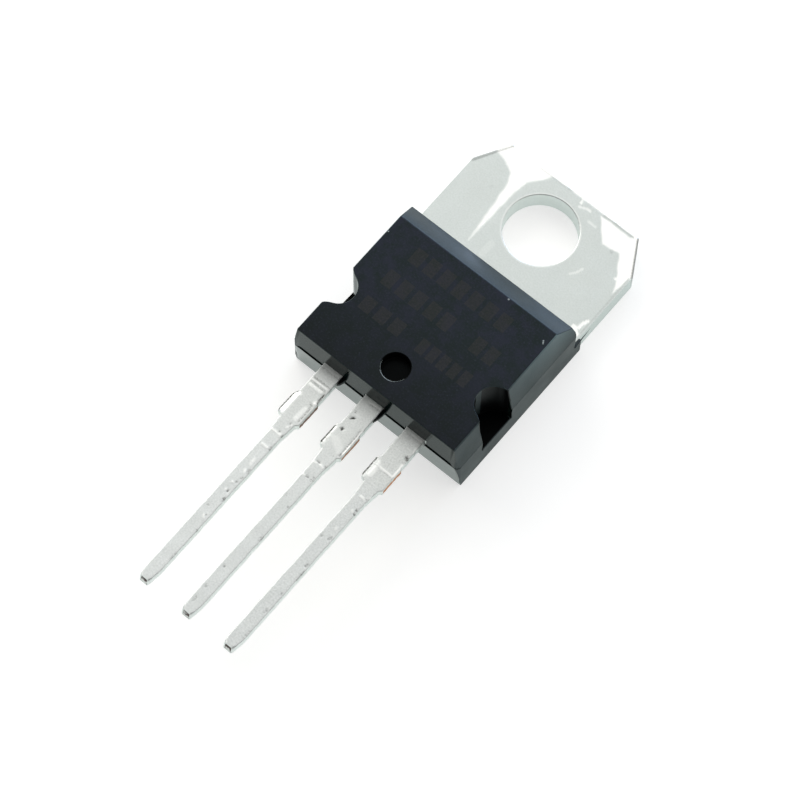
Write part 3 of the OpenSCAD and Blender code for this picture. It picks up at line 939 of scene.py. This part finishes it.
# Marks on the leads, from each lead's middle line: rubbed and stained places, creases among them; the bright
# marks are partly painted highlights on the pressed stubs, and the dark ones partly painted shade in the
# creases.
INPUT_RUBBED_AND_HIGHLIGHTS = [
    ((-0.42, -13.62), (0.42, -13.6), 0.04, 0.9),
    ((-0.38, -13.9), (0.3, -13.9), 0.05, 0.9),
    ((-0.53, -14.75), (-0.53, -15.7), 0.1, 0.75),
    ((-0.45, -14.6), (-0.4, -14.6), 0.06, 0.9),
    ((0.3, -15.05), (0.28, -15.7), 0.1, 0.6),
    ((0.5, -14.4), (0.42, -14.55), 0.05, 1.0),
    ((0.52, -13.9), (0.58, -14.4), 0.02, 0.9),
    ((-0.28, -16.79), (0.12, -16.8), 0.03, 1.0),
    ((0.22, -16.76), (0.24, -16.82), 0.02, 1.0),
    ((-0.15, -17.65), (0.15, -17.65), 0.03, 1.0),
    ((0.22, -16.3), (0.32, -16.1), 0.02, 0.8),
    ((0.08, -18.5), (0.12, -18.8), 0.05, 0.5),
    ((0.1, -19.15), (0.16, -19.3), 0.02, 0.8),
    ((0.06, -20.0), (0.02, -20.02), 0.02, 0.9),
    ((0.0, -20.48), (0.05, -20.5), 0.02, 0.7),
    ((0.08, -22.1), (0.16, -22.22), 0.02, 0.9),
]
INPUT_STAINED_AND_SHADE = [
    ((-0.42, -13.5), (0.45, -13.5), 0.02, 0.3),
    ((-0.4, -13.74), (0.4, -13.76), 0.02, 0.22),
    ((-0.5, -12.88), (0.5, -12.88), 0.02, 0.2),
    ((-0.69, -14.75), (-0.69, -15.8), 0.02, 0.8),
    ((-0.66, -14.65), (-0.56, -14.5), 0.02, 0.6),
    ((0.50, -13.9), (0.52, -14.45), 0.02, 0.8),
    ((0.3, -14.62), (0.4, -14.75), 0.02, 0.3),
    ((0.44, -14.8), (0.44, -15.7), 0.02, 0.35),
    ((0.1, -16.68), (0.06, -16.7), 0.02, 0.35),
    ((0.33, -16.75), (0.33, -16.85), 0.02, 0.35),
    ((0.2, -16.0), (0.3, -16.2), 0.02, 0.3),
    ((0.3, -17.55), (0.33, -17.7), 0.02, 0.3),
    ((0.27, -19.1), (0.29, -19.2), 0.05, 0.3),
    ((0.26, -19.6), (0.26, -19.62), 0.03, 0.35),
    ((0.2, -19.9), (0.18, -19.92), 0.03, 0.3),
    ((0.16, -20.5), (0.16, -20.52), 0.03, 0.5),
    ((0.29, -20.9), (0.29, -21.02), 0.03, 0.6),
    ((-0.08, -21.6), (-0.1, -21.62), 0.03, 0.2),
    ((0.16, -22.08), (0.18, -22.1), 0.03, 0.3),
    ((0.34, -24.4), (0.33, -24.8), 0.04, 0.12),
    ((0.33, -22.9), (0.36, -22.92), 0.02, 0.4),
]
MIDDLE_RUBBED_AND_HIGHLIGHTS = [
    ((-0.6, -14.8), (-0.6, -15.7), 0.04, 0.5),
    ((-0.2, -15.3), (0.3, -15.6), 0.18, 0.3),
    ((0.52, -14.2), (0.53, -15.7), 0.02, 0.7),
    ((0.05, -16.73), (0.22, -16.75), 0.03, 1.0),
    ((-0.28, -16.78), (-0.15, -16.76), 0.02, 0.9),
    ((-0.25, -17.6), (-0.18, -17.58), 0.02, 0.9),
    ((-0.3, -13.72), (0.0, -13.7), 0.03, 0.2),
    ((-0.2, -12.78), (0.5, -12.78), 0.02, 0.9),
]
MIDDLE_STAINED_AND_SHADE = [
    ((-0.32, -14.02), (-0.2, -13.92), 0.025, 0.95),
    ((-0.32, -14.66), (-0.31, -14.7), 0.04, 0.95),
    ((-0.38, -13.6), (-0.35, -13.64), 0.02, 0.45),
    ((-0.68, -14.75), (-0.68, -15.8), 0.02, 0.95),
    ((-0.6, -15.2), (-0.62, -15.25), 0.04, 0.25),
    ((-0.58, -15.5), (-0.58, -15.6), 0.03, 0.2),
    ((0.47, -14.2), (0.47, -15.8), 0.02, 0.4),
    ((-0.2, -16.67), (0.0, -16.67), 0.02, 0.4),
    ((0.3, -16.66), (0.33, -16.69), 0.02, 0.4),
    ((-0.1, -17.56), (0.04, -17.58), 0.02, 0.35),
    ((0.22, -17.6), (0.28, -17.58), 0.025, 0.4),
    ((0.24, -17.4), (0.27, -17.42), 0.02, 0.3),
    ((0.18, -16.0), (0.22, -16.0), 0.02, 0.25),
    ((0.26, -19.3), (0.28, -19.35), 0.05, 0.22),
    ((0.3, -21.2), (0.32, -21.42), 0.04, 0.28),
    ((-0.14, -23.4), (-0.12, -23.48), 0.03, 0.3),
    ((-0.15, -24.65), (-0.15, -24.75), 0.04, 0.2),
    ((-0.15, -25.4), (-0.15, -25.6), 0.04, 0.2),
    ((-0.2, -18.8), (-0.2, -18.95), 0.05, 0.1),
    ((0.0, -12.88), (0.5, -12.87), 0.02, 0.3),
]
OUTPUT_RUBBED_AND_HIGHLIGHTS = [
    ((-0.45, -14.98), (0.5, -15.05), 0.03, 0.95),
    ((-0.42, -15.2), (-0.4, -15.6), 0.1, 0.75),
    ((-0.48, -14.82), (-0.42, -14.88), 0.04, 0.8),
    ((0.53, -14.2), (0.55, -15.0), 0.025, 1.0),
    ((0.48, -13.2), (0.55, -13.5), 0.02, 0.5),
    ((-0.05, -16.7), (0.2, -16.73), 0.03, 1.0),
    ((0.1, -17.5), (0.16, -17.55), 0.03, 0.6),
    ((0.38, -16.5), (0.4, -16.55), 0.03, 0.8),
    ((0.1, -18.65), (0.12, -18.7), 0.04, 0.4),
    ((-0.1, -12.78), (0.5, -12.78), 0.02, 0.7),
]
OUTPUT_STAINED_AND_SHADE = [
    ((0.42, -13.85), (0.5, -13.9), 0.05, 0.75),
    ((0.48, -14.15), (0.5, -14.2), 0.03, 0.3),
    ((-0.5, -12.88), (0.5, -12.88), 0.02, 0.2),
    ((-0.68, -14.75), (-0.68, -15.8), 0.02, 0.85),
    ((0.1, -15.1), (0.45, -15.12), 0.02, 0.2),
    ((0.2, -16.7), (0.3, -16.68), 0.02, 0.25),
    ((0.26, -17.35), (0.28, -17.4), 0.03, 0.5),
    ((0.3, -17.58), (0.32, -17.62), 0.03, 0.5),
    ((0.18, -19.3), (0.22, -19.2), 0.04, 0.3),
    ((-0.2, -19.35), (-0.18, -19.4), 0.04, 0.25),
    ((0.25, -20.9), (0.22, -21.0), 0.04, 0.35),
    ((0.34, -21.3), (0.36, -21.8), 0.02, 0.35),
    ((0.22, -22.75), (0.22, -22.8), 0.04, 0.2),
    ((0.22, -23.75), (0.22, -23.95), 0.04, 0.2),
    ((0.3, -25.1), (0.3, -25.5), 0.04, 0.15),
    ((-0.2, -24.08), (-0.18, -24.1), 0.02, 0.2),
]


def open_lead(form):
    """Cuts a lead off inside the body and gives back the edges of its open end, finely divided."""
    cut = bmesh.ops.bisect_plane(
        form, geom=form.verts[:] + form.edges[:] + form.faces[:], dist=CUT_MARGIN * MM,
        plane_co=mm(0, LEAD_ROOT, 0), plane_no=(0, 1, 0), clear_inner=True)["geom_cut"]
    loop = [g for g in cut if isinstance(g, bmesh.types.BMEdge) and g.is_boundary]
    wide = [e for e in loop if abs(e.verts[0].co.x - e.verts[1].co.x) > 0.3 * MM]
    bmesh.ops.subdivide_edges(form, edges=wide, cuts=21, use_grid_fill=False)
    tall = [e for e in form.edges if e.is_boundary and abs(e.verts[0].co.z - e.verts[1].co.z) > 0.2 * MM]
    bmesh.ops.subdivide_edges(form, edges=tall, cuts=3, use_grid_fill=False)
    return [e for e in form.edges if e.is_boundary]


def rippled(reach, ripples, y, middle_x, free):
    """How far a lead reaches to one side of its middle, uneven where it is free of the body."""
    fine, broad = (unevenness((ripples, y, middle_x), size, height) for size, height in SIDE_RIPPLES)
    return reach + free * (fine + broad)


def place_in_section(a, b, left, right, edge_r):
    """Where a corner of a lead's section lies, in mm from its middle, with the section's edges rounded.
    The corner's own place goes from -1 to 1, a across the lead and b upward."""
    x = math.sin(a * math.pi / 2) * (left if a < 0 else right)
    z = math.sin(b * math.pi / 2) * LEAD_THICK / 2
    inner_x = min(max(x, edge_r - left), right - edge_r)
    inner_z = min(max(z, edge_r - LEAD_THICK / 2), LEAD_THICK / 2 - edge_r)
    out_x = x - inner_x
    out_z = z - inner_z
    out = math.hypot(out_x, out_z)
    if out > 1e-9:
        return inner_x + out_x * edge_r / out, inner_z + out_z * edge_r / out
    return x, z


def draw_lead(form, middle_x, drift, painted_top_shade, coining, rubbed_and_highlight_marks, stained_and_shade_marks):
    """Cuts a lead off inside the body and draws its free length out again, ring by ring, in its worn shape.
    The drift is how far its free length stands to the right of its root, the painted top shade is how much
    its top is darkened all over as painted shade, and the coining is how deep its stub was pressed on the
    left."""
    rubbed_and_highlight = form.verts.layers.float.get("rubbed_and_highlight") or form.verts.layers.float.new("rubbed_and_highlight")
    stained_and_shade = form.verts.layers.float.get("stained_and_shade") or form.verts.layers.float.new("stained_and_shade")
    ring = open_lead(form)
    corners = ends_of(ring)
    reach = max(abs(v.co.x / MM - middle_x) for v in corners)
    middle_z = LEAD_TOP - LEAD_THICK / 2
    unit = {
        v: ((v.co.x / MM - middle_x) / reach, (v.co.z / MM - middle_z) / (LEAD_THICK / 2))
        for v in corners}
    for count in range(1, LEAD_RINGS + 1):
        y = LEAD_ROOT + (TIP - LEAD_ROOT) * count / LEAD_RINGS
        made = bmesh.ops.extrude_edge_only(form, edges=ring)["geom"]
        ring = [g for g in made if isinstance(g, bmesh.types.BMEdge) and g.is_boundary]
        fresh = {}
        for v in ends_of(ring):
            source = next(e.other_vert(v) for e in v.link_edges if e.other_vert(v) in unit)
            fresh[v] = unit[source]
        free = smooth_between(FRONT - y, 0.05, 0.4)
        shown = smooth_between(FRONT - y, 0.02, 0.05)
        sway = drift * smooth_between(FRONT - y, 0.1, 4)
        left = rippled(between(LEFT_EDGE, y), LEFT_RIPPLES, y, middle_x, free)
        right = rippled(between(RIGHT_EDGE, y), RIGHT_RIPPLES, y, middle_x, free)
        at_tip = smooth_between(-y, 26.0, 26.2)
        past_start = smooth_between(-y, -STUB_START, 0.12 - STUB_START)
        before_end = smooth_between(y, STUB_END, STUB_END + 0.1)
        for v, (a, b) in fresh.items():
            x, z = place_in_section(a, b, left, right, LEAD_EDGE_R + TIP_ROUNDER * at_tip)
            upper = smooth_between(b, 0.2, 1.0)
            # Painted light: the bright marks are partly rubbed tin and partly painted highlights, and the
            # dark ones partly stains and partly painted shade in the creases.
            bright = marks_on(rubbed_and_highlight_marks, x, y) * shown
            dull = marks_on(stained_and_shade_marks, x, y) * shown
            pressed = coining * smooth_between(-x, 0.44, 0.58) * past_start * before_end
            wavy = unevenness((x + middle_x, y, TOP_RIPPLES), 0.8, 0.010)
            z += upper * free * (wavy + 0.012 * bright - 0.03 * dull - pressed)
            slant = TIP_SLANT * at_tip * (1 - b)
            v.co = mm(middle_x + sway + x, y - slant, middle_z + z)
            # Painted highlight: a lead's sides are painted lighter.
            v[rubbed_and_highlight] = max(0.7 * bright * upper, 0.25 * smooth_between(abs(a), 0.93, 1.0))
            # Painted shade: the top is darkened all over by the painted top shade.
            v[stained_and_shade] = max(dull, painted_top_shade) * upper
        unit = fresh
    tip = bmesh.ops.contextual_create(form, geom=ring)["faces"]
    bmesh.ops.inset_region(form, faces=tip, thickness=0.08 * MM, depth=0, use_even_offset=True)
    turn_outward(form)
    for face in tip:
        face.material_index = STRIP_ORDER.index("cropped")
    for face in form.faces:
        middle = face.calc_center_median() / MM
        on_stub = STUB_END + 0.05 < middle.y < STUB_START - 0.03
        if on_stub and middle.x > middle_x + 0.5 and face.normal.x > 0.6:
            face.material_index = STRIP_ORDER.index("copper")


def make_side_lead(node, middle_x, drift, painted_top_shade, coining, rubbed_and_highlight_marks, stained_and_shade_marks):
    """The input or the output lead, with the part of it that the body holds."""
    form = merged_copy(node)
    draw_lead(form, middle_x, drift, painted_top_shade, coining, rubbed_and_highlight_marks, stained_and_shade_marks)
    finishes = [STRIP_FINISHES[name] for name in ("lead_tin", "copper", "cropped")]
    make_piece(form, node + "_strip", node, finishes)


def on_tab(place):
    """Whether a place, in mm, is on the tab, behind the body."""
    return place.y > BACK


def mark_tab(form):
    """Rubs and stains the tab where its marks are, paints highlights on its patches, its sides and its hole's
    wall and rim, paints shade along its chamfers, and presses it a little uneven.
    """
    rubbed_and_highlight = form.verts.layers.float["rubbed_and_highlight"]
    stained_and_shade = form.verts.layers.float["stained_and_shade"]
    for corner in form.verts:
        place = corner.co / MM
        if not on_tab(place):
            continue
        upper = smooth_between(place.z, 1.0, PLATE_TOP - 0.03)
        x = place.x + unevenness(place, 0.35, 0.05)
        y = place.y + unevenness(place + Vector((9, 0, 0)), 0.35, 0.05)
        bright = 0.0
        dull = 0.0
        if upper > 0:
            # Painted highlight: the patches and some of the strokes are painted white; the dark strokes along
            # the chamfers are painted shade.
            patches = max(power * patch(x, y, outline, soft) for outline, soft, power in PLATE_HIGHLIGHT_PATCHES)
            bright = max(patches, marks_on(PLATE_RUBBED_AND_HIGHLIGHTS, x, y))
            dull = marks_on(PLATE_STAINED_AND_SHADE, place.x, place.y)
        from_hole = math.hypot(place.x, place.y)
        above_bottom = smooth_between(place.z, 0.02, 0.05)
        # Painted highlight: the tab's sides and the hole's wall are painted lighter, and the hole's upper rim
        # too.
        wall = max(0.7 * smooth_between(abs(place.x), 4.9, 5.0), 0.3 * (from_hole < HOLE_R + 0.2))
        rim = 0.35 * (1 - smooth_between(from_hole, HOLE_R + 0.05, HOLE_R + 0.12)) * above_bottom
        corner[rubbed_and_highlight] = max(upper * bright + (1 - upper) * wall * above_bottom, rim)
        corner[stained_and_shade] = upper * dull
        uneven = unevenness(place, 1.5, 0.012) - 0.01 * bright
        corner.co.z += upper * uneven * smooth_between(place.y, BACK, BACK + 0.6) * MM


def make_plate():
    """The heat-sink plate, blanked in one piece with the middle lead."""
    form = merged_copy("heatsink_tab")
    draw_lead(
        form, 0, drift=0.04, painted_top_shade=0.02, coining=0.015,
        rubbed_and_highlight_marks=MIDDLE_RUBBED_AND_HIGHLIGHTS, stained_and_shade_marks=MIDDLE_STAINED_AND_SHADE)
    tab_edges = {e for e in form.edges if all(v.co.y > -3.9 * MM for v in e.verts)}
    hole_edges = {
        e for e in tab_edges
        if all(math.hypot(v.co.x, v.co.y) < (HOLE_R + 0.2) * MM and v.co.z > 0.6 * MM for v in e.verts)}
    round_edges(form, HOLE_EDGE_R, lambda edge: edge in hole_edges)
    round_edges(form, TAB_EDGE_R, lambda edge: edge in tab_edges)
    slice_across(form, 0, -4.9, 4.9, TAB_SLICE, on_tab)
    slice_across(form, 1, -3.57, 2.66, TAB_SLICE, on_tab)
    mark_tab(form)
    for face in form.faces:
        if face.calc_center_median().y > FRONT * MM:
            face.material_index = STRIP_ORDER.index("plate_tin")
    make_piece(form, "plate_and_middle_lead", "heatsink_tab", STRIP_FINISHES.values())


# ---------------------------------------------------------------- inside the body

def finish_inside():
    """The chip, its solder and its wires keep their CAD shapes and get the finishes of the real ones."""
    # Silicon under its passivation: a smooth, bluish grey mirror.
    silicon = inside_finish(
        "passivated_silicon", "#3a3f52", "#5b6276", grain_size=0.25, metallic=0.6, rough=0.2)
    # Soft solder that was melted under the chip: grey and satin.
    solder = inside_finish(
        "reflowed_soft_solder", "#8d8f90", "#b4b6b6", grain_size=0.15, metallic=1.0, rough=0.45)
    # Wire drawn through a die: bright along its length.
    wire = inside_finish(
        "drawn_bond_wire", "#c9c6bd", "#e2dfd6", grain_size=0.05, metallic=1.0, rough=0.3)
    inside = {"silicon_die": silicon, "die_solder": solder}
    for node in [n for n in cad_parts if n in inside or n.endswith("bond_wire")]:
        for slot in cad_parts[node].material_slots:
            slot.link = "OBJECT"
            slot.material = inside.get(node, wire)


make_body()
make_plate()
make_side_lead(
    "input_lead", -PITCH, drift=-0.01, painted_top_shade=0.0, coining=0.06,
    rubbed_and_highlight_marks=INPUT_RUBBED_AND_HIGHLIGHTS, stained_and_shade_marks=INPUT_STAINED_AND_SHADE)
make_side_lead(
    "output_lead", PITCH, drift=0.06, painted_top_shade=0.045, coining=0.012,
    rubbed_and_highlight_marks=OUTPUT_RUBBED_AND_HIGHLIGHTS, stained_and_shade_marks=OUTPUT_STAINED_AND_SHADE)
finish_inside()
